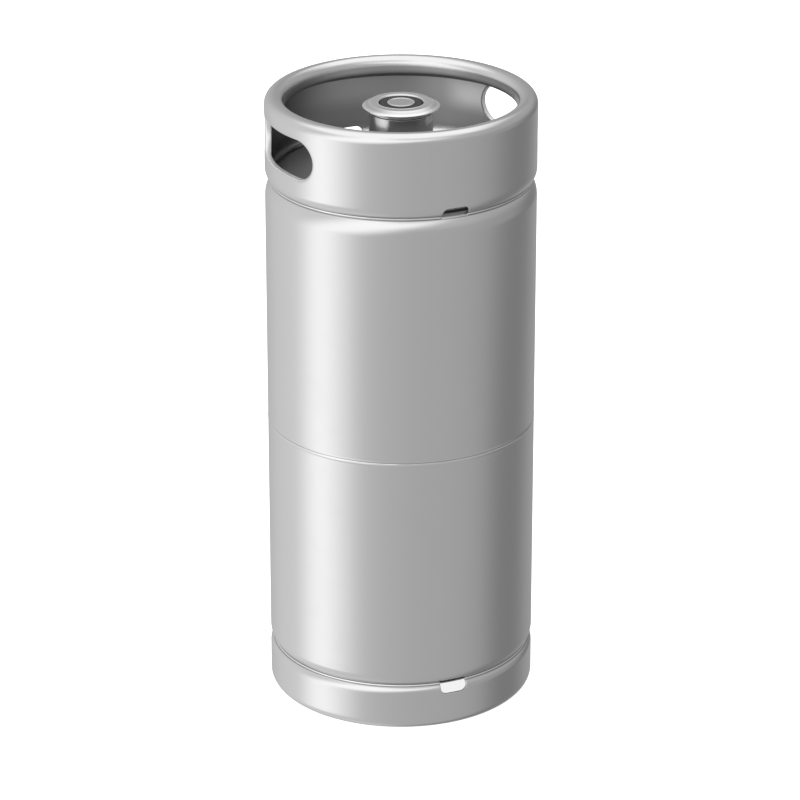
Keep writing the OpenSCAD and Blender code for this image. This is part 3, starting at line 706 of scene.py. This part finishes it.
    for c0 in (90, 270):
        idx = [(-NP, j) for j in range(0, j_notch)] + [(c, j_notch) for c in range(-NP, NP)] + [(NP, j) for j in range(j_notch, -1, -1)]
        rings = []
        e = 0.45
        sec = [(-e + e * math.sin(a), e - e * math.cos(a)) for a in np.radians(np.linspace(0, 90, 5))]
        sec2 = [(-e + e * math.cos(a), CHIME_T - e + e * math.sin(a)) for a in np.radians(np.linspace(0, 90, 5))]
        for skin, zz, rf, ts in (("o", zo, r_out, np.linspace(0, 1, 5)[:-1]), ("e", None, None, None), ("i", zi, r_in, np.linspace(1, 0, 5)[1:])):
            if skin == "e":
                for (o, d) in sec + sec2:
                    zl = zo[0] if d < 1 else zi[0]
                    f = d / CHIME_T
                    zl = zo[0] * (1 - f) + zi[0] * f
                    p = notch_path(len(idx), zl, c0)
                    nn = normals_of(p, False)
                    nn = nn if ((np.array([0, TJ]) - p) * nn).sum() > 0 else -nn
                    nn[0] = (1, 0)
                    nn[-1] = (-1, 0)
                    q = p + nn * o
                    rings.append([(q[k, 0] / R, r_out(q[k, 1]) * (1 - f) + r_in(q[k, 1]) * f, q[k, 1]) for k in range(len(q))])
                continue
            bd = np.array([(R * deg(c), zz[j]) for c, j in idx])
            p = notch_path(len(idx), zz[0], c0)
            nn = normals_of(p, False)
            nn = nn if ((np.array([0, TJ]) - p) * nn).sum() > 0 else -nn
            nn[0] = (1, 0)
            nn[-1] = (-1, 0)
            p = p - nn * e
            for t in ts:
                q = bd * (1 - t) + p * t
                rings.append([(q[k, 0] / R, rf(q[k, 1]), q[k, 1]) for k in range(len(q))])
        ids = [[sh.at(deg(c0) + a, r, z) for (a, r, z) in ring] for ring in rings]
        K = len(idx)
        for a, b in zip(ids[:-1], ids[1:]):
            for k in range(K - 1):
                sh.quad(a[k], a[k + 1], b[k + 1], b[k])
        # close the lower end: pair the outer and inner rings, then the edge itself
        for k in (0, K - 1):
            col = [row[k] for row in ids]
            lo, hi = 0, len(col) - 1
            while hi - lo > 1:
                sh.quad(col[lo], col[lo + 1], col[hi - 1], col[hi])
                lo += 1
                hi -= 1
    return new_object("top_chime_sheet", sh.v, sh.f, 40)


top = build_top_chime()


def build_bottom_chime():
    sh = Sheet()
    N = 360
    cx, cz, RB = FBX, FBZ, FBR

    def r_out(z):
        return cx + math.sqrt(RB ** 2 - (z - cz) ** 2) if z > cz else R

    def r_in(z):
        return cx + math.sqrt((RB - CHIME_T) ** 2 - (z - cz) ** 2) if z > cz else R - CHIME_T

    z_hi_out = cz + RB * math.sin(math.radians(FE_OUT))
    z_hi_in = cz + (RB - CHIME_T) * math.sin(math.radians(FE_IN))
    nb = 10
    z_mid = 28.0
    wall = rows(FOOT_R, z_mid, 2.5)
    upper_o = wall + rows(z_mid, cz, 2.2)[1:] + [cz + (z_hi_out - cz) * math.sin(math.radians(90 * i / nb)) for i in range(1, nb + 1)]
    upper_i = wall + rows(z_mid, cz, 2.2)[1:] + [cz + (z_hi_in - cz) * math.sin(math.radians(90 * i / nb)) for i in range(1, nb + 1)]
    jn = upper_o.index(z_mid)
    jl = len(upper_o) - 1
    NP = 9

    def deg(c):
        return math.radians(c * 360.0 / N)

    def in_notch(c, j):
        for c0 in (90, 270):
            d = (c - c0 + 180) % 360 - 180
            if -NP <= d < NP and j >= jn:
                return True
        return False

    for zz, rf in ((upper_o, r_out), (upper_i, r_in)):
        for c in range(N):
            for j in range(jl):
                if in_notch(c, j):
                    continue
                a, b = deg(c), deg(c + 1)
                sh.quad(sh.at(a, rf(zz[j]), zz[j]), sh.at(b, rf(zz[j]), zz[j]),
                        sh.at(b, rf(zz[j + 1]), zz[j + 1]), sh.at(a, rf(zz[j + 1]), zz[j + 1]))
    foot = arc(R - FOOT_R, FOOT_R, FOOT_R, 0, -90, 16)
    foot += arc(R - FOOT_R - FOOT_FLAT, FOOT_R, FOOT_R, -90, -180, 16)
    x0 = R - 2 * FOOT_R - FOOT_FLAT
    foot += [(x0, FOOT_R + 3.1)]
    foot += arc(x0 + 0.9, FOOT_R + 3.1, 0.9, 180, 90, 4)[1:]
    foot += arc(x0 + CHIME_T - 0.9, FOOT_R + 3.1, 0.9, 90, 0, 4)
    foot += arc(R - FOOT_R - FOOT_FLAT, FOOT_R, FOOT_R - CHIME_T, -180, -90, 12)
    foot += arc(R - FOOT_R, FOOT_R, FOOT_R - CHIME_T, -90, 0, 12)
    foot[0] = (R, FOOT_R)
    foot[-1] = (R - CHIME_T, FOOT_R)
    for c in range(N):
        a, b = deg(c), deg(c + 1)
        for (p, q) in zip(foot[:-1], foot[1:]):
            if abs(p[0] - q[0]) + abs(p[1] - q[1]) < 1e-9:
                continue
            sh.quad(sh.at(a, *p), sh.at(b, *p), sh.at(b, *q), sh.at(a, *q))
    for c in range(N):
        if in_notch(c, jl):
            continue
        a, b = deg(c), deg(c + 1)
        sh.quad(sh.at(a, r_out(upper_o[-1]), upper_o[-1]), sh.at(b, r_out(upper_o[-1]), upper_o[-1]),
                sh.at(b, r_in(upper_i[-1]), upper_i[-1]), sh.at(a, r_in(upper_i[-1]), upper_i[-1]))

    def notch_path(n, z_high):
        w, low, rr = NOTCH_W / 2, BJ - NOTCH_BOT, NOTCH_R
        pts = [(-w, z) for z in np.linspace(z_high, low + rr, 8)]
        pts += arc(-w + rr, low + rr, rr, 180, 270, 10)[1:]
        pts += [(x, low) for x in np.linspace(-w + rr, w - rr, 10)[1:]]
        pts += arc(w - rr, low + rr, rr, 270, 360, 10)[1:]
        pts += [(w, z) for z in np.linspace(low + rr, z_high, 8)[1:]]
        return resample(pts, n)

    for c0 in (90, 270):
        idx = [(-NP, j) for j in range(jl, jn, -1)] + [(c, jn) for c in range(-NP, NP)] + [(NP, j) for j in range(jn, jl + 1)]
        rings = []
        e = 0.45
        sec = [(-e + e * math.sin(a), e - e * math.cos(a)) for a in np.radians(np.linspace(0, 90, 5))]
        sec2 = [(-e + e * math.cos(a), CHIME_T - e + e * math.sin(a)) for a in np.radians(np.linspace(0, 90, 5))]

        def edge(z_high):
            p = notch_path(len(idx), z_high)
            nn = normals_of(p, False)
            nn = nn if ((np.array([0, BJ]) - p) * nn).sum() > 0 else -nn
            nn[0] = (1, 0)
            nn[-1] = (-1, 0)
            return p, nn

        for skin, zz, rf, ts in (("o", upper_o, r_out, np.linspace(0, 1, 5)[:-1]), ("e", None, None, None), ("i", upper_i, r_in, np.linspace(1, 0, 5)[1:])):
            if skin == "e":
                for (o, d) in sec + sec2:
                    f = d / CHIME_T
                    p, nn = edge(upper_o[-1] * (1 - f) + upper_i[-1] * f)
                    q = p + nn * o
                    rings.append([(q[k, 0] / R, r_out(q[k, 1]) * (1 - f) + r_in(q[k, 1]) * f, q[k, 1]) for k in range(len(q))])
                continue
            bd = np.array([(R * deg(c), zz[j]) for c, j in idx])
            p, nn = edge(zz[-1])
            p = p - nn * e
            for t in ts:
                q = bd * (1 - t) + p * t
                rings.append([(q[k, 0] / R, rf(q[k, 1]), q[k, 1]) for k in range(len(q))])
        ids = [[sh.at(deg(c0) + a, r, z) for (a, r, z) in ring] for ring in rings]
        K = len(idx)
        for a, b in zip(ids[:-1], ids[1:]):
            for k in range(K - 1):
                sh.quad(a[k], a[k + 1], b[k + 1], b[k])
        for k in (0, K - 1):
            col = [row[k] for row in ids]
            lo, hi = 0, len(col) - 1
            while hi - lo > 1:
                sh.quad(col[lo], col[lo + 1], col[hi - 1], col[hi])
                lo += 1
                hi -= 1
    return new_object("bottom_chime_sheet", sh.v, sh.f, 40)


bottom = build_bottom_chime()


# ---------------------------------------------------------------- weld beads
def ripple(pitch_mm, depth, seed):
    ph = rng.uniform(0, 6.28, 8)

    def f(a):
        s = a * R / pitch_mm * 2 * math.pi
        wob = 0.6 * math.sin(7 * a + ph[0]) + 0.4 * math.sin(17 * a + ph[1])
        return depth * (abs(math.sin(0.5 * s + wob)) - 0.6) + 0.03 * math.sin(23 * a + ph[2]) + 0.02 * math.sin(41 * a + ph[3])
    return f


def weld_ring(name, inner, outer, n, gaps, rip, proud, sink=0.9):
    """A bead between two sheet edges. inner: points behind the bead; outer: its two toes; crown bulges by proud."""
    (ra, za), (rb, zb) = outer
    mid = ((ra + rb) / 2, (za + zb) / 2)
    nx, nz = (zb - za), -(rb - ra)
    ln = math.hypot(nx, nz)
    nx, nz = nx / ln, nz / ln
    if nx < 0:
        nx, nz = -nx, -nz
    crown = []
    m = 20
    for i in range(m + 1):
        t = i / m
        crown.append((t, 1.2 * math.sin(math.pi * t) ** 2 - sink * (math.exp(-((t - 0.1) / 0.07) ** 2) + math.exp(-((t - 0.9) / 0.07) ** 2))))
    pieces = []
    spans = gaps
    for k, (a0, a1) in enumerate(spans):
        cols = max(8, int(n * (a1 - a0) / 360.0))
        verts, faces = [], []
        M = m + 1 + len(inner)
        for i in range(cols + 1):
            ad = a0 + (a1 - a0) * i / cols
            a = math.radians(ad)
            fall = min(1.0, max(0.0, min(ad - a0, a1 - ad) / 1.2)) if a1 - a0 < 359 else 1.0
            fall = math.sin(fall * math.pi / 2)
            h = rip(a)
            ring = []
            for (t, b) in crown:
                bulge = (proud + h * max(0.0, min(1, b))) * b * (fall if b > 0 else 1.0)
                ring.append((ra + (rb - ra) * t + nx * bulge, za + (zb - za) * t + nz * bulge))
            ring += inner
            for (r, z) in ring:
                verts.append((r * math.cos(a) * MM, r * math.sin(a) * MM, z * MM))
        closed = a1 - a0 > 359
        for i in range(cols):
            for j in range(M):
                j2 = (j + 1) % M
                faces.append((i * M + j, (i + 1) * M + j, (i + 1) * M + j2, i * M + j2))
        if not closed:
            faces.append(tuple(range(M)))
            faces.append(tuple(cols * M + j for j in range(M - 1, -1, -1)))
        pieces.append((verts, faces))
    V, F = [], []
    for verts, faces in pieces:
        o = len(V)
        V += verts
        F += [tuple(i + o for i in f) for f in faces]
    return new_object(name, V, F, 60)


gap = math.degrees(NOTCH_W / 2 / 116.0)
spans = [(-90 + gap, 90 - gap), (90 + gap, 270 - gap)]
te_out = (CBX + CBR * math.cos(math.radians(TE_OUT)), CBZ + CBR * math.sin(math.radians(TE_OUT)))
te_in = (CBX + (CBR - CHIME_T) * math.cos(math.radians(TE_IN)), CBZ + (CBR - CHIME_T) * math.sin(math.radians(TE_IN)))
te_mid = (te_out[0] * 0.5 + te_in[0] * 0.5, te_out[1] * 0.5 + te_in[1] * 0.5)
kt = [top_knuckle(KRT, a) for a in np.linspace(TOP_TOE, TOP_BACK - 1.5, 5)]
w_top = weld_ring("top_weld_bead", [te_mid] + kt[::-1][:-1], (kt[0], te_out), 2400, spans, ripple(2.3, 0.10, 1), 0.36)
fe_out = (FBX + FBR * math.cos(math.radians(FE_OUT)), FBZ + FBR * math.sin(math.radians(FE_OUT)))
fe_in = (FBX + (FBR - CHIME_T) * math.cos(math.radians(FE_IN)), FBZ + (FBR - CHIME_T) * math.sin(math.radians(FE_IN)))
fe_mid = (fe_out[0] * 0.2 + fe_in[0] * 0.8, fe_out[1] * 0.2 + fe_in[1] * 0.8)
kb = [bot_knuckle(KRB, a) for a in np.linspace(BOT_TOE, BOT_BACK, 5)]
w_bot = weld_ring("bottom_weld_bead", [fe_mid] + kb[::-1][:-1], (kb[0], fe_out), 2400, spans, ripple(2.3, 0.08, 2), 0.28)
w_mid = weld_ring("girth_weld_bead", [(R - SHELL_T, GIRTH_Z + 0.8), (R - SHELL_T - 0.3, GIRTH_Z), (R - SHELL_T, GIRTH_Z - 0.8)],
                  ((R + 0.13, GIRTH_Z - 0.8), (R - 0.18, GIRTH_Z + 0.8)), 2400, [(0, 360)], ripple(1.9, 0.03, 3), 0.04)

# ---------------------------------------------------------------- neck and valve
zc_neck = CZ_TOP + math.sqrt(CR_TOP ** 2 - NECK_R ** 2)
neck = revolve("neck_sleeve", fillet([(THREAD_R, 490, .3), (NECK_R - 0.6, 490, .3), (NECK_R, 491.2, .5), (NECK_R, zc_neck, 0), (NECK_R, 530, 0),
                                      (NECK_R, NECK_TOP, .5), (THREAD_R, NECK_TOP, .3)], 4), 192)
z3 = CZ_TOP + math.sqrt(CR_TOP ** 2 - (NECK_R + 3) ** 2)


def neck_ripple(r, z, a):
    if r > NECK_R + 0.2 and z > z3 + 0.2:
        k = 0.14 * (abs(math.sin(38 * a)) - 0.5)
        return r + k, z + k
    return r, z


w_neck = revolve("neck_weld_bead", fillet([(NECK_R, zc_neck + 0.02, 0), (NECK_R + 3, z3 + 0.02, .15), (NECK_R + 1.9, zc_neck + 1.1, .8), (NECK_R + 0.9, zc_neck + 1.9, .8), (NECK_R, zc_neck + 2.9, .1)], 5),
                 720, sharp=70, shape=neck_ripple)
seal_neck = revolve("neck_gasket", fillet([(THREAD_R + 0.2, NECK_TOP, .05), (NECK_R - 0.7, NECK_TOP, .05), (NECK_R - 0.55, NECK_TOP + 0.3, .2), (NECK_R - 0.7, NECK_TOP + 0.6, .05), (THREAD_R + 0.2, NECK_TOP + 0.6, .05)], 3), 160)

CH = 22.0
body_pts = [(SEAL_R + 0.3, FLANGE_Z - 0.9, .25), (SEAL_R + 1.1, FLANGE_Z - 0.1, .3), (SEAL_R + 1.6, FLANGE_Z - 0.02, .2), (SEAL_R + 1.9, FLANGE_Z - 0.22, .15), (SEAL_R + 2.4, FLANGE_Z - 0.22, .15), (SEAL_R + 2.7, FLANGE_Z - 0.05, .2),
            (27.1, FLANGE_Z - 0.05, 1.0), (FLANGE_R - 1.4, FLANGE_Z - 2.35, 1.2), (FLANGE_R - 0.05, FLANGE_Z - 3.15, .45), (FLANGE_R - 0.05, FLANGE_Z - 4.2, .3),
            (NECK_R - 0.5, FLANGE_Z - 5.95, .3), (NECK_R - 0.5, NECK_TOP + 1.75, .2), (NECK_R - 0.02, NECK_TOP + 1.35, .25), (NECK_R - 0.02, NECK_TOP + 0.75, .25), (NECK_R - 0.4, NECK_TOP + 0.6, .1),
            (THREAD_R - 0.05, NECK_TOP + 0.6, 0), (THREAD_R - 0.05, 515, .2), (CH, 515, .2), (CH, 517, 0), (23.4, 517, 0), (23.4, 518.7, 0), (CH, 518.7, 0),
            (CH, 542.3, .2), (SEAL_R + 0.3, 542.3, .2)]
body = revolve("valve_body", fillet(body_pts, 4), 256)

disc_pts = [(0, 521.5, 0), (3, 521.5, .2), (3.5, 522, .2), (3.5, 540, .6), (5, 542, .6), (DISC_R - 0.8, 544.6, .4), (DISC_R, 545.4, .2), (DISC_R, FLANGE_Z - 0.55, .15),
            (DISC_R - 0.45, FLANGE_Z - 0.2, .2), (DISC_R - 1.3, FLANGE_Z - 0.2, .2), (DISC_R - 1.7, FLANGE_Z - 0.5, .25), (6.5, FLANGE_Z - 0.55, .5), (5.9, FLANGE_Z - 0.62, .3), (5.3, FLANGE_Z - 0.55, .3), (0, FLANGE_Z - 0.52, 0)]
disc = revolve("centre_disc_turned", fillet(disc_pts, 4), 160)

seal_pts = [(DISC_R + 0.3, 538.5, .1), (14, 538.5, 0), (14, 541.5, 0), (19, 541.5, 0), (19, 538.5, 0), (21, 538.5, .3), (21, 542, .3), (SEAL_R, 542, .2), (SEAL_R, FLANGE_Z - 3.2, .3),
            (SEAL_R - 0.55, FLANGE_Z - 1.6, .4), (SEAL_R - 0.85, FLANGE_Z - 0.66, .35), (SEAL_R - 1.8, FLANGE_Z - 0.52, .4), (15.6, FLANGE_Z - 0.85, 1.0), (DISC_R + 1.5, FLANGE_Z - 0.55, .4), (DISC_R + 0.7, FLANGE_Z - 0.62, .4), (DISC_R + 0.3, FLANGE_Z - 1.1, .2)]
seal = revolve("main_seal_ring", fillet(seal_pts, 4), 192)

# ---------------------------------------------------------------- finish each piece
for ob, mat, bodyname, node, slot in (
        (upper, M_SHELL, "keg", "upper_shell", "shell_steel"), (lower, M_SHELL_LOW, "keg", "lower_shell", "shell_steel"),
        (w_mid, M_WELD_MID, "keg", "girth_weld", "weld_steel"), (top, M_CHIME, "keg", "top_chime", "chime_steel"),
        (bottom, M_CHIME, "keg", "bottom_chime", "chime_steel"), (w_top, M_WELD_TOP, "keg", "top_chime_weld", "weld_steel"),
        (w_bot, M_WELD_LOW, "keg", "bottom_chime_weld", "weld_steel"), (neck, M_NECK, "keg", "neck", "neck_steel"),
        (w_neck, M_WELD, "keg", "neck_weld", "weld_steel"), (seal_neck, M_RUBBER, "keg", "neck_seal", "rubber"),
        (body, M_VALVE, "keg", "fitting_body", "valve_steel"), (disc, M_VALVE, "keg", "centre_disc", "valve_steel"),
        (seal, M_RUBBER, "valve", "main_seal", "rubber")):
    ob.data.materials.clear()
    ob.data.materials.append(mat)
    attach(ob, bodyname)
    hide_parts(node)

for node, mat in (("cross_pin", M_INNER), ("spring_cage", M_INNER), ("cage_ring", M_SPRING), ("guide_bush", M_PLASTIC),
                  ("seal_core", M_INNER), ("seal_carrier", M_INNER), ("spring_seat", M_INNER), ("spear_tube", M_INNER),
                  ("valve_spring", M_SPRING)):
    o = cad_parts[node]
    for s in o.material_slots:
        s.material = mat
    if not o.material_slots:
        o.data.materials.append(mat)
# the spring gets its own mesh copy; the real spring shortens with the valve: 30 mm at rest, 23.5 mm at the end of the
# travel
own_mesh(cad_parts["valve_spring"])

# ---------------------------------------------------------------- floor
bpy.ops.mesh.primitive_grid_add(x_subdivisions=8, y_subdivisions=8, size=30, location=(0, 0, -0.0004))
floor = bpy.context.object
floor.name = "floor"
fm = bpy.data.materials.new("floor_pale")
g = G(nt(fm))
d = g.n("ShaderNodeBsdfDiffuse")
d.inputs["Color"].default_value = (0.8, 0.8, 0.8, 1)
e = g.n("ShaderNodeEmission")
e.inputs["Color"].default_value = (1, 1, 1, 1)
e.inputs["Strength"].default_value = 0.82
add = g.n("ShaderNodeAddShader")
g.link(d.outputs[0], add.inputs[0])
g.link(e.outputs[0], add.inputs[1])
out = g.n("ShaderNodeOutputMaterial")
g.link(add.outputs[0], out.inputs[0])
floor.data.materials.append(fm)
floor.visible_glossy = False
floor.visible_diffuse = False
floor.visible_shadow = False

# ---------------------------------------------------------------- studio light
AZ, EL = math.radians(-23.5), math.radians(22.3)
cam_angle = math.atan2(-math.cos(AZ), math.sin(AZ))          # direction from the keg to the camera
world = bpy.data.worlds.new("studio")
bpy.context.scene.world = world
world.use_nodes = True
wt = world.node_tree
wt.nodes.clear()
w = G(wt)
tcw = w.n("ShaderNodeTexCoord")
sp = w.n("ShaderNodeSeparateXYZ")
w.link(tcw.outputs["Generated"], sp.inputs[0])
ang = w.math("ARCTAN2", sp.outputs[1], sp.outputs[0])
rel = w.math("WRAP", w.math("SUBTRACT", ang, cam_angle), math.pi, -math.pi)   # 0 at the camera, positive to its right
f = w.math("MULTIPLY_ADD", rel, 1 / (2 * math.pi), 0.5, clamp=True)
azd = w.math("MULTIPLY", rel, 180 / math.pi)
eld = w.math("MULTIPLY", w.math("ARCSINE", sp.outputs[2]), 180 / math.pi)
# the grey studio walls
ramp = w.n("ShaderNodeValToRGB")
ramp.color_ramp.interpolation = "B_SPLINE"
stops = [(-180, .48), (-165, .56), (-150, .66), (-135, .80), (-120, .85), (-105, .90), (-90, .90), (-60, .80), (-30, .69), (-15, .63), (0, .60), (15, .57),
         (30, .56), (45, .55), (60, .52), (75, .48), (90, .43), (105, .42), (120, .42), (135, .42), (150, .42), (165, .42), (180, .48)]
cr = ramp.color_ramp
while len(cr.elements) > 1:
    cr.elements.remove(cr.elements[-1])
cr.elements[0].position = 0.0
cr.elements[0].color = (stops[0][1],) * 3 + (1,)
for (a, v) in stops[1:]:
    el = cr.elements.new((a + 180) / 360)
    el.color = (v, v, v, 1)
w.link(f, ramp.inputs[0])
# a dark screen low on the right, behind the keg
dark_az = w.ramp(eld, -25.0, -10.0, 106.0, 139.0)
dark = w.ramp(w.math("ABSOLUTE", w.math("SUBTRACT", azd, dark_az)), 42.0, 6.0)
dark = w.math("MULTIPLY", dark, w.ramp(eld, 14.0, -4.0))
base = w.math("MULTIPLY", ramp.outputs[0], w.math("MULTIPLY_ADD", dark, -0.34, 1.0))
# the right-hand wall grows paler towards the top
lift = w.math("MULTIPLY", w.ramp(eld, 4.0, 24.0, 0.0, 0.12), w.math("MULTIPLY", w.ramp(azd, 0.0, 26.0), w.ramp(azd, 176.0, 154.0)))
base = w.math("ADD", base, lift)
# a large soft panel on the left, leaning over towards the camera
left_edge = w.math("MULTIPLY_ADD", eld, 0.55, -76.0)
left_edge = w.math("SUBTRACT", left_edge, w.ramp(eld, -12.0, -30.0, 0.0, 2.0))
right_edge = w.math("MULTIPLY_ADD", w.math("MAXIMUM", eld, -19.0), 1.3, -27.0)
right_edge = w.math("MULTIPLY_ADD", w.math("MAXIMUM", w.math("SUBTRACT", eld, 20.0), 0.0), 0.7, right_edge)
panel = w.math("MULTIPLY", w.ramp(w.math("SUBTRACT", azd, left_edge), -16.0, 16.0), w.ramp(w.math("SUBTRACT", azd, right_edge), 24.0, -24.0))
panel = w.math("MULTIPLY", panel, w.ramp(eld, -38.0, -26.0))
base = w.math("MULTIPLY_ADD", panel, w.math("SUBTRACT", 1.50, base), base)
# the white ceiling
off = w.ramp(w.math("ABSOLUTE", w.math("SUBTRACT", azd, 158.0)), 26.0, 6.0, 0.0, -8.0)
off = w.math("ADD", off, w.ramp(w.math("ABSOLUTE", w.math("ADD", azd, 90.0)), 48.0, 22.0, 0.0, -6.0))
off = w.math("ADD", off, w.ramp(w.math("ABSOLUTE", w.math("ADD", azd, 150.0)), 26.0, 8.0, 0.0, 6.0))
ceil = w.ramp(eld, w.math("ADD", off, 38.0), w.math("ADD", off, 60.0))
base = w.math("MULTIPLY_ADD", ceil, w.math("SUBTRACT", 1.43, base), base)
# a joint between two ceiling panels, on the right
dip = w.math("MULTIPLY", w.ramp(w.math("ABSOLUTE", w.math("SUBTRACT", azd, 38.0)), 64.0, 28.0), w.math("MULTIPLY", w.ramp(eld, 39.0, 47.0), w.ramp(eld, 70.0, 56.0)))
base = w.math("MULTIPLY", base, w.math("MULTIPLY_ADD", dip, -0.34, 1.0))
comb = w.n("ShaderNodeCombineColor")
for k in range(3):
    w.link(base, comb.inputs[k])
colw = comb.outputs[0]
lp = w.n("ShaderNodeLightPath")
colw = w.mixc(lp.outputs["Is Camera Ray"], colw, (1, 1, 1, 1))
bg = w.n("ShaderNodeBackground")
w.link(colw, bg.inputs[0])
wo = w.n("ShaderNodeOutputWorld")
w.link(bg.outputs[0], wo.inputs[0])

# ---------------------------------------------------------------- camera
D, T = 3.4, Vector((0, 0, 0.2776))
cam_d = bpy.data.cameras.new("camera")
cam = bpy.data.objects.new("camera", cam_d)
bpy.context.scene.collection.objects.link(cam)
pos = T + Vector((math.sin(AZ) * math.cos(EL), -math.cos(AZ) * math.cos(EL), math.sin(EL))) * D
cam.location = pos
cam.rotation_euler = (T - pos).to_track_quat("-Z", "Y").to_euler()
cam_d.lens = 172.0
cam_d.sensor_width = 36
cam_d.shift_x = -0.0013
cam_d.shift_y = -0.012
cam_d.clip_end = 100
bpy.context.scene.camera = cam
bpy.context.scene.view_settings.view_transform = "Standard"
bpy.context.scene.view_settings.look = "None"
